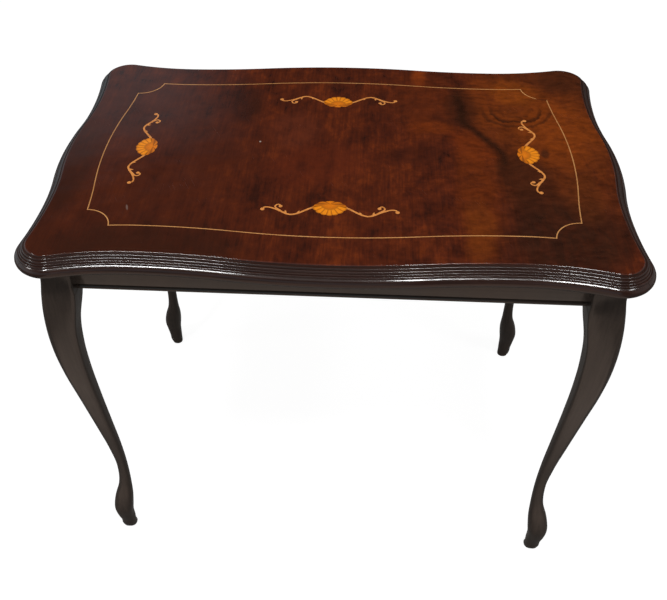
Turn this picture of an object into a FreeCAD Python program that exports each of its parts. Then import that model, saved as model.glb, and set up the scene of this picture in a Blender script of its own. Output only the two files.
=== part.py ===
"""Small serpentine tea table: inlaid flat top with a reeded edge on four cabriole legs.

Millimetres, +Z up, +X along the table's length, front at -Y. The origin is on the floor
under the middle of the top. Each piece is written to parts/NAME.step.
"""

import FreeCAD
import Part

import math
import os

from FreeCAD import Vector

# ---------------------------------------------------------------- driving dimensions
# Overall
TABLE_HEIGHT = 590.0          # floor to the show face of the veneer
TOP_THICKNESS = 25.0          # show face to the underside

# Plan of the top, at the sharp arris of its show face
HALF_LENGTH = 338.2           # at the middle of each end
HALF_DEPTH = 214.0            # at the middle of the front and of the back
LONG_WAVE = 11.4              # how far the hollows of front and back lie inside the hump
END_WAVE = 8.6                # the same for the two ends
LONG_HOLLOW_IN = 122.5        # front and back: from the tip of a lobe to the hollow beside it
END_HOLLOW_IN = 105.0         # the same for the two ends
LOBE_SHY_LONG = 0.0           # front and back: lobes fall short of the hump by this
LOBE_SHY_END = 2.7            # the same for the two ends
LOBE_RADIUS = 26.5            # round of a corner lobe

# Sheets and lippings of the top
VENEER = 0.8                  # show veneer, stringing and marquetry
BACKING_VENEER = 0.8          # balancing sheet on the underside
LIPPING_WIDTH = 14.0          # solid wood behind the arris, in which the edge is moulded

# Stringing
STRING_WIDTH = 1.3
STRING_INSET_LONG = 45.6      # arris to the middle of the line, front and back
STRING_INSET_END = 46.8       # the same at the middle of the ends
STRING_END_WAVE = 12.0        # the end lines swell more than the ends, in a wave of their own
STRING_END_HOLLOW = 160.0     # middle of an end line to the hollows beside its swell
STRING_CORNER_RADIUS = 31.0   # hollow quarter round at each corner of the line

# Marquetry: from the middle of the stringing in to the level of the scrolls' ball ends
MOTIF_INSET_LONG = 46.5
MOTIF_INSET_END = 47.0

# Legs
LEG_INSET_LONG = 26.5         # front and back: from the arris in to the middle of the knee block
LEG_INSET_END = 31.2          # the same at the ends
POST_SIDE = 36.0              # side of the square knee block
POST_ARRIS = 3.4              # round of its upright corners
KNEE_RISE = 25.0              # the knee starts to swell this far above the rail's lower edge

# Rails
RAIL_HEIGHT = 42.0
RAIL_THICKNESS = 18.0
RAIL_SETBACK = 11.0           # rail's face behind the face of the knee block
RAIL_BEAD = 6.4               # height of the bead along the lower edge
RAIL_BEAD_SWELL = 2.2
RAIL_QUIRK = 1.2              # depth of the step above the bead

# Dowels that join rails and legs
DOWEL_RADIUS = 4.0
DOWEL_LENGTH = 30.0
DOWEL_WALL = 0.6              # wood left inside a leg between the dowels of its two rails
DOWEL_LOW = 12.0              # lower dowel above the rail's lower edge
DOWEL_SPACING = 20.0          # from the lower dowel to the upper one
DOWEL_CLEARANCE = 0.05

# Corner braces and screws
BRACE_WIDTH = 32.0            # across the corner, square to the diagonal
BRACE_THICKNESS = 24.0
BRACE_TO_POST = 3.0           # from the brace's outer face to the corner of the knee block
LEG_SCREW_RADIUS = 3.0
LEG_SCREW_DEPTH = 20.0        # of screw inside the knee block
TOP_SCREW_RADIUS = 2.1
TOP_SCREW_DEPTH = 12.0        # of screw inside the core
TOP_SCREW_ASIDE = 14.4        # from the leg's screw, along the brace
SCREW_HEAD_RADIUS = 4.6
SCREW_HEAD_HEIGHT = 3.0
SCREW_CLEARANCE = 0.4         # where a screw passes through
PILOT_CLEARANCE = 0.05        # where it holds

# Moulded edge below the veneer: outward from the arris, drop from the show face as a share
# of the top's thickness, and the swell of the curve that leads there from the point before
# (0 is straight)
EDGE_PROFILE = (
    (0.0, 0.080, 0.0),        # quirk under the arris
    (0.9, 0.088, 0.0),
    (3.7, 0.160, 1.0),        # upper bead
    (3.5, 0.176, 0.0),
    (6.1, 0.256, 0.7),        # second bead
    (5.9, 0.272, 0.0),
    (8.0, 0.320, 0.6),        # fine reed
    (7.9, 0.336, 0.0),
    (10.6, 0.404, 0.9),       # lower bead
    (10.5, 0.424, 0.0),
    (9.8, 0.950, 4.65),       # torus
    (8.6, 0.970, 0.0),
)
EDGE_FOOT = 8.4               # outward reach of the edge at the underside

# Cabriole leg, from the floor up: height as a share of the height of the rail's lower edge,
# how far the section's middle stands out from the knee block's in both X and Y, half width,
# then the rounding of the outer corner, of the two side corners and of the inner corner as
# shares of the width
LEG_SECTIONS = (
    (0.000, 12.3, 9.0, 0.46, 0.46, 0.46),
    (0.008, 13.7, 10.1, 0.46, 0.46, 0.46),
    (0.038, 14.0, 10.9, 0.45, 0.43, 0.45),
    (0.073, 14.9, 12.4, 0.43, 0.40, 0.43),
    (0.105, 14.1, 14.2, 0.42, 0.38, 0.43),
    (0.149, 10.6, 13.6, 0.43, 0.41, 0.44),
    (0.201, 5.4, 9.6, 0.45, 0.45, 0.46),
    (0.287, 2.0, 7.6, 0.45, 0.45, 0.46),
    (0.382, 2.7, 8.8, 0.43, 0.40, 0.48),
    (0.497, 5.6, 11.0, 0.39, 0.31, 0.52),
    (0.631, 9.0, 13.8, 0.33, 0.24, 0.57),
    (0.746, 11.4, 16.7, 0.29, 0.18, 0.60),
    (0.822, 11.6, 18.2, 0.26, 0.14, 0.58),
    (0.908, 9.2, 19.3, 0.22, 0.11, 0.44),
    (0.966, 4.7, 20.6, 0.17, 0.10, 0.24),
    (1.000, 2.1, 20.3, 0.14, 0.10, 0.16),
)
KNEE_OVERLAP = 0.2            # knee stands this far past the block's inner faces and is cut flat

# ---------------------------------------------------------------- levels that follow
SHOW_FACE = TABLE_HEIGHT
CORE_TOP = SHOW_FACE - VENEER
UNDERSIDE = SHOW_FACE - TOP_THICKNESS
CORE_BOTTOM = UNDERSIDE + BACKING_VENEER
RAIL_BOTTOM = UNDERSIDE - RAIL_HEIGHT
SCREW_LEVEL = RAIL_BOTTOM + DOWEL_LOW + DOWEL_SPACING / 2
BRACE_BOTTOM = SCREW_LEVEL - BRACE_THICKNESS / 2

# ---------------------------------------------------------------- places that follow
POST_HALF = POST_SIDE / 2
POST_X = HALF_LENGTH - LEG_INSET_END
POST_Y = HALF_DEPTH - LEG_INSET_LONG
RAIL_INNER = POST_HALF - RAIL_SETBACK - RAIL_THICKNESS  # rail's inner face from the block's middle
DOWEL_IN_LEG = 2 * POST_HALF - RAIL_SETBACK - RAIL_THICKNESS / 2 - DOWEL_RADIUS - DOWEL_WALL
UP = Vector(0, 0, 1)
ACROSS = Vector(0, 1, 0)        # square to the XZ plane, in which sections are drawn


# ---------------------------------------------------------------- small geometry tools
def prism(wire, height):
    """Solid that stands on a closed flat wire."""
    return Part.Face(wire).extrude(Vector(0, 0, height))


def turned(shape, degrees):
    """Copy of a shape turned about the table's vertical axis."""
    made = shape.copy()
    made.rotate(Vector(0, 0, 0), UP, degrees)
    return made


def mirrored_to(shape, side_x, side_y):
    """Copy of a back right piece for the corner with those signs of X and Y."""
    made = shape
    if side_x < 0:
        made = made.mirror(Vector(0, 0, 0), Vector(1, 0, 0))
    if side_y < 0:
        made = made.mirror(Vector(0, 0, 0), Vector(0, 1, 0))
    return made


def swelled_edge(start, end, swell, plane=UP):
    """Straight edge, or the arc that stands out from its chord by swell, in that plane."""
    if swell == 0:
        return Part.makeLine(start, end)
    outward = (end - start).cross(plane).normalize()
    middle = (start + end) * 0.5 + outward * swell
    return Part.Arc(start, middle, end).toShape()


# ---------------------------------------------------------------- serpentine outline
class Side:
    """One side of the top, worked out in its own plan: p runs along it, q points outward."""

    def __init__(self, reach, wave, hollow_at, lobe_p=None, lobe_q=None):
        self.reach = reach
        self.hollow = Vector(hollow_at, reach - wave, 0)
        # hump and inner hollow are equal arcs, tangent half way down the wave
        self.hump_radius = (hollow_at ** 2 + wave ** 2) / (4 * wave)
        self.outer_radius = self.hump_radius
        if lobe_p is None:
            return
        # the outer hollow is tangent to the inner one at its lowest point, and to the lobe
        self.lobe = Vector(lobe_p - LOBE_RADIUS, lobe_q - LOBE_RADIUS, 0)
        along = self.lobe.x - self.hollow.x
        back = self.hollow.y - self.lobe.y
        self.outer_radius = (along ** 2 + back ** 2 - LOBE_RADIUS ** 2) / (2 * (LOBE_RADIUS - back))

    def arcs(self, inset=0.0, reach_p=None):
        """Half of the side as (centre, radius, bulges outward, first angle, last angle).

        They run from the middle to the mitre, or on along the outer hollow to p = reach_p.
        """
        hump = Vector(0, self.reach - self.hump_radius, 0)
        inner = self.hollow + Vector(0, self.hump_radius, 0)
        outer = self.hollow + Vector(0, self.outer_radius, 0)
        over = math.degrees(math.asin(self.hollow.x / (2 * self.hump_radius)))
        made = [
            (hump, self.hump_radius - inset, True, 90.0, 90.0 - over),
            (inner, self.hump_radius + inset, False, 270.0 - over, 270.0),
        ]
        if reach_p is None:
            to_lobe = self.lobe - outer
            turn = math.degrees(math.atan2(to_lobe.y, to_lobe.x)) + 360.0
            made.append((outer, self.outer_radius + inset, False, 270.0, turn))
            made.append((self.lobe, LOBE_RADIUS - inset, True, turn - 180.0, 45.0))
        else:
            radius = self.outer_radius + inset
            turn = 270.0 + math.degrees(math.asin((reach_p - outer.x) / radius))
            made.append((outer, radius, False, 270.0, turn))
        return made

    def edges(self, z, inset=0.0, reach_p=None):
        """The whole side as arcs from its left end to its right end."""
        right = []
        for centre, radius, _, first, last in self.arcs(inset, reach_p):
            points = []
            for angle in (first, (first + last) / 2, last):
                turn = math.radians(angle)
                points.append(centre + Vector(radius * math.cos(turn), radius * math.sin(turn), z))
            right.append(points)
        left = [[Vector(-p.x, p.y, p.z) for p in reversed(points)] for points in reversed(right)]
        return [Part.Arc(*points).toShape() for points in left + right]


LOBE_X = HALF_LENGTH - LOBE_SHY_END
LOBE_Y = HALF_DEPTH - LOBE_SHY_LONG
LONG_SIDE = Side(HALF_DEPTH, LONG_WAVE, LOBE_X - LONG_HOLLOW_IN, LOBE_X, LOBE_Y)
END_SIDE = Side(HALF_LENGTH, END_WAVE, LOBE_Y - END_HOLLOW_IN, LOBE_Y, LOBE_X)
END_LINE = Side(HALF_LENGTH - STRING_INSET_END, STRING_END_WAVE, STRING_END_HOLLOW)
# name, the side's plan and the turn that brings its q to the outside of the table
SIDES = (
    ("back", LONG_SIDE, 0),
    ("left", END_SIDE, 90),
    ("front", LONG_SIDE, 180),
    ("right", END_SIDE, 270),
)


def outline(z, inset):
    """Closed outline of the top, moved inward by inset."""
    edges = []
    for _, side, turn in SIDES:
        edges += [turned(edge, turn) for edge in side.edges(z, inset)]
    return Part.Wire(Part.__sortEdges__(edges))


# ---------------------------------------------------------------- the top
def top_core():
    return prism(outline(CORE_BOTTOM, LIPPING_WIDTH), CORE_TOP - CORE_BOTTOM)


def backing_veneer():
    return prism(outline(UNDERSIDE, LIPPING_WIDTH), BACKING_VENEER)


def edge_section(radius, outward):
    """Section of lipping and moulding in the XZ plane, its arris at X = radius."""
    def at(reach, drop):
        return Vector(radius + outward * reach, 0, SHOW_FACE - drop)

    points = [at(0, VENEER)]
    edges = []
    for reach, share, swell in EDGE_PROFILE:
        points.append(at(reach, share * TOP_THICKNESS))
        edges.append(swelled_edge(points[-2], points[-1], swell, ACROSS * outward))
    corners = [points[-1], at(EDGE_FOOT, TOP_THICKNESS), at(-LIPPING_WIDTH, TOP_THICKNESS),
               at(-LIPPING_WIDTH, VENEER), points[0]]
    edges += [Part.makeLine(a, b) for a, b in zip(corners, corners[1:])]
    return Part.Face(Part.Wire(edges))


def edge_moulding(side):
    """One side's moulding, from mitre to mitre: its section revolved along each arc."""
    runs = []
    for centre, radius, convex, first, last in side.arcs():
        section = edge_section(radius, 1 if convex else -1)
        section.rotate(Vector(0, 0, 0), UP, first)
        section.translate(centre)
        run = section.revolve(centre, UP, last - first)
        runs += [run, run.mirror(Vector(0, 0, 0), Vector(1, 0, 0))]
    return runs[0].multiFuse(runs[1:]).removeSplitter()


def string_corner():
    """Where the middle lines of the long and the end stringing would cross, in plan."""
    x = HALF_LENGTH - STRING_INSET_END
    for _ in range(20):
        y = curve_height(LONG_SIDE, STRING_INSET_LONG, x)
        x = curve_height(END_LINE, 0.0, y)
    return Vector(x, y, 0)


def curve_height(side, inset, p):
    """Outward place q of a side's outer hollow, moved inward by inset, at p along it."""
    radius = side.outer_radius + inset
    centre = side.hollow + Vector(0, side.outer_radius, 0)
    return centre.y - math.sqrt(radius ** 2 - (p - centre.x) ** 2)


def inside_string(grow):
    """The panel bounded by the stringing's middle line, grown on all sides by grow."""
    panels = []
    for side, inset, far in ((LONG_SIDE, STRING_INSET_LONG, HALF_LENGTH), (END_LINE, 0.0, HALF_DEPTH)):
        back = side.edges(CORE_TOP, inset - grow, far)
        front = [turned(edge, 180) for edge in back]
        ends = []
        for sign in (1, -1):
            q = sign * curve_height(side, inset - grow, far)
            ends.append(Part.makeLine(Vector(sign * far, q, CORE_TOP), Vector(sign * far, -q, CORE_TOP)))
        panel = prism(Part.Wire(Part.__sortEdges__(back + front + ends)), VENEER)
        panels.append(turned(panel, 0 if side is LONG_SIDE else 90))
    made = panels[0].common(panels[1])
    middle = string_corner()
    for side_x in (1, -1):
        for side_y in (1, -1):
            base = Vector(side_x * middle.x, side_y * middle.y, CORE_TOP)
            made = made.cut(Part.makeCylinder(STRING_CORNER_RADIUS - grow, VENEER, base))
    return made


def stringing():
    """The boxwood line in its eight lengths, as {name: solid}."""
    line = inside_string(STRING_WIDTH / 2).cut(inside_string(-STRING_WIDTH / 2))
    middle = string_corner()
    inner_x = middle.x - STRING_CORNER_RADIUS - STRING_WIDTH / 2
    inner_y = middle.y - STRING_CORNER_RADIUS - STRING_WIDTH / 2
    long_zone = Part.makeBox(2 * inner_x, 2 * HALF_DEPTH, VENEER, Vector(-inner_x, -HALF_DEPTH, CORE_TOP))
    end_zone = Part.makeBox(2 * HALF_LENGTH, 2 * inner_y, VENEER, Vector(-HALF_LENGTH, -inner_y, CORE_TOP))
    corners = line.cut(long_zone).cut(end_zone)
    pieces = {}
    for solid in line.common(long_zone).Solids:
        name = "back" if solid.CenterOfMass.y > 0 else "front"
        pieces["stringing_" + name] = solid
    for solid in line.common(end_zone).Solids:
        name = "right" if solid.CenterOfMass.x > 0 else "left"
        pieces["stringing_" + name] = solid
    for solid in corners.Solids:
        depth = "back" if solid.CenterOfMass.y > 0 else "front"
        hand = "right" if solid.CenterOfMass.x > 0 else "left"
        pieces["stringing_corner_" + depth + "_" + hand] = solid
    return pieces


# ---------------------------------------------------------------- marquetry
# Worked out in a plan of its own: p along the motif, q toward the table's edge, with the
# ball ends of the two scrolls at q = 0.
SHELL_HINGE = (0.0, -13.0)    # point from which the ribs of the shell radiate
SHELL_RIBS = 7
RIB_INNER = 9.5               # hinge to the inner end of a rib
RIB_OUTER = 20.0              # hinge to the root of a rib's round end
RIB_FAN = 146.0               # degrees that the ribs spread over
RIB_SWELL = 1.9
CROWN_LOBES = 5
CROWN_REACH = (18.6, -6.5)    # where the crown meets the outermost ribs
CROWN_TOP = -17.6             # level of the crown's lobes at the middle
CROWN_SWELL = 1.6
SCROLL_STEM = ((14.5, -8.6, 1.5), (22.0, -4.6, 1.35), (30.5, 1.6, 1.25), (37.5, 6.2, 1.2),
               (45.0, 8.0, 1.2), (52.0, 5.0, 1.3), (59.0, 0.4, 1.25), (66.0, -3.0, 1.1),
               (72.5, -4.6, 1.0), (76.6, -3.4, 1.0))
SCROLL_BALL = (77.3, -0.6, 2.5)
VOLUTE = ((55.5, 2.4, 1.0), (60.2, -1.8, 1.0), (63.0, -6.0, 0.95), (61.0, -9.6, 0.9), (57.2, -8.8, 0.8))
VOLUTE_BALL = (56.8, -6.6, 2.2)
SPROUT = ((36.0, 5.0, 1.3), (35.0, 1.4, 1.2), (36.8, -2.8, 0.5))
LEAF = ((50.5, 5.2, 1.6), (50.0, 1.4, 1.7), (47.4, -1.2, 0.5))


def tapered_strip(stations):
    """Flat curved strip through (p, q, half width) stations, with square ends."""
    line = Part.BSplineCurve()
    line.interpolate([Vector(p, q, 0) for p, q, _ in stations])
    edges = ([], [])
    for (p, q, half), knot in zip(stations, line.getKnots()):
        along = line.tangent(knot)[0]
        across = Vector(-along.y, along.x, 0) * half
        edges[0].append(Vector(p, q, 0) + across)
        edges[1].append(Vector(p, q, 0) - across)
    sides = []
    for points in edges:
        curve = Part.BSplineCurve()
        curve.interpolate(points)
        sides.append(curve.toShape())
    caps = [Part.makeLine(edges[0][end], edges[1][end]) for end in (0, -1)]
    return prism(Part.Wire(Part.__sortEdges__(sides + caps)), VENEER)


def scroll():
    """One scroll of light wood with its volute, sprout, leaf and two ball ends."""
    made = tapered_strip(SCROLL_STEM)
    for stations in (VOLUTE, SPROUT, LEAF):
        made = made.fuse(tapered_strip(stations))
    for p, q, radius in (SCROLL_BALL, VOLUTE_BALL):
        made = made.fuse(Part.makeCylinder(radius, VENEER, Vector(p, q, 0)))
    return made.removeSplitter()


def shell():
    """A shell of shaded wood: a lobed crown over a fan of ribs, all separate pieces."""
    hinge = Vector(SHELL_HINGE[0], SHELL_HINGE[1], 0)
    angles = [90 + RIB_FAN / 2 - RIB_FAN * i / SHELL_RIBS for i in range(SHELL_RIBS + 1)]
    rays = [Vector(math.cos(math.radians(a)), math.sin(math.radians(a)), 0) for a in angles]
    inner = [hinge + ray * RIB_INNER for ray in rays]
    outer = [hinge + ray * RIB_OUTER for ray in rays]
    pieces = []
    for i in range(SHELL_RIBS):
        edges = [
            Part.makeLine(inner[i], inner[i + 1]),
            Part.makeLine(inner[i + 1], outer[i + 1]),
            swelled_edge(outer[i + 1], outer[i], RIB_SWELL),
            Part.makeLine(outer[i], inner[i]),
        ]
        pieces.append(prism(Part.Wire(edges), VENEER))
    rim = []
    for i in range(CROWN_LOBES + 1):
        turn = math.pi * i / CROWN_LOBES
        drop = (CROWN_REACH[1] - CROWN_TOP) * math.sin(turn)
        rim.append(Vector(-CROWN_REACH[0] * math.cos(turn), CROWN_REACH[1] - drop, 0))
    edges = [swelled_edge(a, b, CROWN_SWELL) for a, b in zip(rim, rim[1:])]
    corners = [rim[-1]] + inner[::-1] + [rim[0]]
    edges += [Part.makeLine(a, b) for a, b in zip(corners, corners[1:])]
    pieces.insert(0, prism(Part.Wire(edges), VENEER))
    return pieces


def motif_pieces(side, turn):
    """Shell pieces and the two scrolls of one side, in place in the veneer."""
    if side is LONG_SIDE:
        out = HALF_DEPTH - STRING_INSET_LONG - MOTIF_INSET_LONG
    else:
        out = HALF_LENGTH - STRING_INSET_END - MOTIF_INSET_END

    def placed(piece):
        made = piece.copy()
        made.translate(Vector(0, out, CORE_TOP))
        return turned(made, turn)

    fan = shell()
    right = scroll()
    for piece in fan:
        right = right.cut(piece)
    left = right.mirror(Vector(0, 0, 0), Vector(1, 0, 0))
    return [placed(piece) for piece in fan], [placed(right), placed(left)]


# ---------------------------------------------------------------- rails
def rail_section(face):
    """Section of a rail in the XZ plane with its show face at X = face, outside at +X."""
    low = RAIL_BOTTOM
    points = [
        Vector(face, 0, UNDERSIDE),
        Vector(face, 0, low + RAIL_BEAD + RAIL_QUIRK),
        Vector(face - RAIL_QUIRK, 0, low + RAIL_BEAD),
        Vector(face - RAIL_QUIRK, 0, low),
        Vector(face - RAIL_THICKNESS, 0, low),
        Vector(face - RAIL_THICKNESS, 0, UNDERSIDE),
    ]
    swells = (0.0, 0.0, RAIL_BEAD_SWELL, 0.0, 0.0)
    edges = [swelled_edge(a, b, s, ACROSS) for a, b, s in zip(points, points[1:], swells)]
    edges.append(Part.makeLine(points[-1], points[0]))
    return Part.Face(Part.Wire(edges))


def rail(face, half_length):
    """A rail across the back side: its show face at Y = face, from block to block."""
    section = rail_section(face)
    section.rotate(Vector(0, 0, 0), UP, 90)
    section.translate(Vector(-half_length, 0, 0))
    made = section.extrude(Vector(2 * half_length, 0, 0))
    for sign in (1, -1):
        for dowel in rail_dowels(face, half_length, sign, DOWEL_CLEARANCE):
            made = made.cut(dowel)
    return made


def rail_dowels(face, half_length, sign, clearance=0.0):
    """The two dowels at one end of such a rail."""
    made = []
    for height in (DOWEL_LOW, DOWEL_LOW + DOWEL_SPACING):
        length = DOWEL_LENGTH + 2 * clearance
        start = half_length + DOWEL_IN_LEG + clearance
        base = Vector(sign * start, face - RAIL_THICKNESS / 2, RAIL_BOTTOM + height)
        made.append(Part.makeCylinder(DOWEL_RADIUS + clearance, length, base, Vector(-sign, 0, 0)))
    return made


# name, turn, distance of the show face from the middle, half length between the blocks
RAILS = (
    ("back", 0, POST_Y + POST_HALF - RAIL_SETBACK, POST_X - POST_HALF),
    ("left", 90, POST_X + POST_HALF - RAIL_SETBACK, POST_Y - POST_HALF),
    ("front", 180, POST_Y + POST_HALF - RAIL_SETBACK, POST_X - POST_HALF),
    ("right", 270, POST_X + POST_HALF - RAIL_SETBACK, POST_Y - POST_HALF),
)


# ---------------------------------------------------------------- legs
def leg_wire(z, out, half, outer, sides, inner):
    """Square section with rounded corners, standing out from the block by out."""
    middle = Vector(POST_X + out, POST_Y + out, z)
    corners = ((1, 1, outer), (-1, 1, sides), (-1, -1, inner), (1, -1, sides))
    arcs = []
    for i, (sx, sy, share) in enumerate(corners):
        radius = share * 2 * half
        centre = middle + Vector(sx * (half - radius), sy * (half - radius), 0)
        points = []
        for degrees in (90 * i, 90 * i + 45, 90 * i + 90):
            turn = math.radians(degrees)
            points.append(centre + Vector(radius * math.cos(turn), radius * math.sin(turn), 0))
        arcs.append(points)
    edges = []
    for points, following in zip(arcs, arcs[1:] + arcs[:1]):
        edges.append(Part.Arc(*points).toShape())
        edges.append(Part.makeLine(points[2], following[0]))
    return Part.Wire(edges)


def leg():
    """The back right leg, with its dowel holes and the pilot hole of its screw."""
    wires = [leg_wire(share * RAIL_BOTTOM, *section) for share, *section in LEG_SECTIONS]
    arris = POST_ARRIS / POST_SIDE
    half = POST_HALF + KNEE_OVERLAP / 2
    wires.append(leg_wire(RAIL_BOTTOM + KNEE_RISE, -KNEE_OVERLAP / 2, half, arris, arris, arris))
    made = Part.makeLoft(wires, True, False)
    inner_x, inner_y = POST_X - POST_HALF, POST_Y - POST_HALF
    for start_x, start_y in ((inner_x - 2 * POST_SIDE, POST_Y - POST_SIDE),
                             (POST_X - POST_SIDE, inner_y - 2 * POST_SIDE)):
        start = Vector(start_x, start_y, RAIL_BOTTOM)
        made = made.cut(Part.makeBox(2 * POST_SIDE, 2 * POST_SIDE, RAIL_HEIGHT, start))
    block = leg_wire(RAIL_BOTTOM, 0, POST_HALF, arris, arris, arris)
    made = made.fuse(prism(block, RAIL_HEIGHT))
    for name, turn, face, half_length in RAILS:
        if name in ("back", "right"):
            sign = 1 if name == "back" else -1
            for dowel in rail_dowels(face, half_length, sign, DOWEL_CLEARANCE):
                made = made.cut(turned(dowel, turn))
    return made.cut(leg_screw_shank(PILOT_CLEARANCE)).removeSplitter()


# ---------------------------------------------------------------- braces and screws
def brace_lines():
    """X + Y of the brace's outer and inner faces in the back right corner."""
    corner = POST_X + POST_Y - 2 * POST_HALF
    outer = corner - BRACE_TO_POST * math.sqrt(2)
    return outer, outer - BRACE_WIDTH * math.sqrt(2)


def brace():
    """Block across the back right corner, from rail to rail, with its two screw holes."""
    rail_x = POST_X + RAIL_INNER
    rail_y = POST_Y + RAIL_INNER
    outer, inner = brace_lines()
    corners = [
        Vector(inner - rail_y, rail_y, BRACE_BOTTOM),
        Vector(outer - rail_y, rail_y, BRACE_BOTTOM),
        Vector(rail_x, outer - rail_x, BRACE_BOTTOM),
        Vector(rail_x, inner - rail_x, BRACE_BOTTOM),
    ]
    made = prism(Part.makePolygon(corners + corners[:1]), BRACE_THICKNESS)
    made = made.cut(leg_screw_shank(SCREW_CLEARANCE))
    return made.cut(top_screw_shank(SCREW_CLEARANCE))


def diagonal_point(total, z):
    """Point on the diagonal through the knee block's middle where X + Y is total."""
    shift = (POST_X + POST_Y - total) / 2
    return Vector(POST_X - shift, POST_Y - shift, z)


DIAGONAL = Vector(1, 1, 0).normalize()


def leg_screw_shank(clearance=0.0):
    start = diagonal_point(brace_lines()[1], SCREW_LEVEL)
    length = BRACE_WIDTH + BRACE_TO_POST + LEG_SCREW_DEPTH + clearance
    return Part.makeCylinder(LEG_SCREW_RADIUS + clearance, length, start, DIAGONAL)


def leg_screw():
    start = diagonal_point(brace_lines()[1], SCREW_LEVEL)
    base = start - DIAGONAL * SCREW_HEAD_HEIGHT
    head = Part.makeCylinder(SCREW_HEAD_RADIUS, SCREW_HEAD_HEIGHT, base, DIAGONAL)
    return leg_screw_shank().fuse(head).removeSplitter()


def top_screw_place(z):
    """The top's screw stands beside the leg's screw in the middle of the brace's width."""
    outer, inner = brace_lines()
    middle = diagonal_point((outer + inner) / 2, z)
    return middle + Vector(1, -1, 0).normalize() * TOP_SCREW_ASIDE


def top_screw_shank(clearance=0.0):
    length = CORE_BOTTOM - BRACE_BOTTOM + TOP_SCREW_DEPTH + clearance
    return Part.makeCylinder(TOP_SCREW_RADIUS + clearance, length, top_screw_place(BRACE_BOTTOM), UP)


def top_screw():
    base = top_screw_place(BRACE_BOTTOM - SCREW_HEAD_HEIGHT)
    head = Part.makeCylinder(SCREW_HEAD_RADIUS, SCREW_HEAD_HEIGHT, base, UP)
    return top_screw_shank().fuse(head).removeSplitter()


# ---------------------------------------------------------------- assembly
CORNERS = (("front_left", -1, -1), ("front_right", 1, -1), ("back_left", -1, 1), ("back_right", 1, 1))


def build():
    """Every piece in place, as {name: shape}."""
    pieces = {}
    core = top_core()
    backing = backing_veneer()
    for _, side_x, side_y in CORNERS:
        pilot = mirrored_to(top_screw_shank(PILOT_CLEARANCE), side_x, side_y)
        core = core.cut(pilot)
        backing = backing.cut(pilot)
    pieces["top_core"] = core
    pieces["backing_veneer"] = backing

    field = inside_string(-STRING_WIDTH / 2)
    sheet = prism(outline(CORE_TOP, 0.0), VENEER)
    pieces["border_veneer"] = sheet.cut(inside_string(STRING_WIDTH / 2))
    for name, side, turn in SIDES:
        pieces["edge_moulding_" + name] = turned(edge_moulding(side), turn)
        fan, scrolls = motif_pieces(side, turn)
        field = field.cut(fan + scrolls)
        pieces["shell_inlay_" + name] = Part.makeCompound(fan)
        pieces["scroll_inlay_" + name] = Part.makeCompound(scrolls)
    pieces["field_veneer"] = field
    pieces.update(stringing())

    dowels = []
    for name, turn, face, half_length in RAILS:
        pieces["rail_" + name] = turned(rail(face, half_length), turn)
        for sign in (1, -1):
            dowels += [turned(dowel, turn) for dowel in rail_dowels(face, half_length, sign)]
    pieces["rail_dowels"] = Part.makeCompound(dowels)

    one_leg = leg()
    one_brace = brace()
    leg_screws = []
    top_screws = []
    for name, side_x, side_y in CORNERS:
        pieces["leg_" + name] = mirrored_to(one_leg, side_x, side_y)
        pieces["corner_brace_" + name] = mirrored_to(one_brace, side_x, side_y)
        leg_screws.append(mirrored_to(leg_screw(), side_x, side_y))
        top_screws.append(mirrored_to(top_screw(), side_x, side_y))
    pieces["leg_screws"] = Part.makeCompound(leg_screws)
    pieces["top_screws"] = Part.makeCompound(top_screws)
    return pieces


os.makedirs("parts", exist_ok=True)
for piece_name, piece in build().items():
    piece.exportStep(os.path.join("parts", piece_name + ".step"))
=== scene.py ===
"""Looks of a small inlaid tea table, built up in the order in which the table is put together.

Metres, +Z up, the table's front at -Y, the floor at z = 0.
"""

import math
from functools import reduce

import bmesh
import bpy
from mathutils import Matrix, Vector
from mathutils.geometry import delaunay_2d_cdt


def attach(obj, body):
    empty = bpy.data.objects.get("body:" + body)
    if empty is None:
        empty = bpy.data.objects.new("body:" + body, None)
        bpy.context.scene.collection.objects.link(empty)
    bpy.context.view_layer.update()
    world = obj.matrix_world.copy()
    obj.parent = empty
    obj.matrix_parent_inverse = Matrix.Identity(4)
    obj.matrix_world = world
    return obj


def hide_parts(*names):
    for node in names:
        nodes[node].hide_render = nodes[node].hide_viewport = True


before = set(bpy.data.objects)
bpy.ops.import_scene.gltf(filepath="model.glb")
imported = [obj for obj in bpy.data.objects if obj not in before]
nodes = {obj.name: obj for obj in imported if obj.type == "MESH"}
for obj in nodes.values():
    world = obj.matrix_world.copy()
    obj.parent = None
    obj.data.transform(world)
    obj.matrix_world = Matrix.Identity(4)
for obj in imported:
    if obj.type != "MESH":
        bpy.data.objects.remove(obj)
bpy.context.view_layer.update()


# ------------------------------ camera
# A camera held before the middle of the front, half a metre above the top, and looking down
# on it. Its frame is shifted a little, so that the whole table stands in it.
CAMERA_PLACE = Vector((0.03498, -0.81787, 1.13812))
CAMERA_YAW = math.radians(5.593)
CAMERA_PITCH = math.radians(44.593)      # below the horizon
CAMERA_ROLL = math.radians(-1.912)


def in_scene(name, data):
    """New object of that data, placed in the scene."""
    made = bpy.data.objects.new(name, data)
    bpy.context.scene.collection.objects.link(made)
    return made


camera_data = bpy.data.cameras.new("camera")
camera_data.sensor_fit = "HORIZONTAL"
camera_data.sensor_width = 36.0
camera_data.lens = 41.636
camera_data.shift_x = 0.0450
camera_data.shift_y = -0.0028
camera = in_scene("camera", camera_data)
camera.matrix_world = (
    Matrix.Translation(CAMERA_PLACE)
    @ Matrix.Rotation(CAMERA_YAW, 4, "Z")
    @ Matrix.Rotation(math.pi / 2 - CAMERA_PITCH, 4, "X")
    @ Matrix.Rotation(CAMERA_ROLL, 4, "Z")
)
bpy.context.scene.camera = camera
bpy.context.scene.view_settings.view_transform = "Standard"


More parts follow.
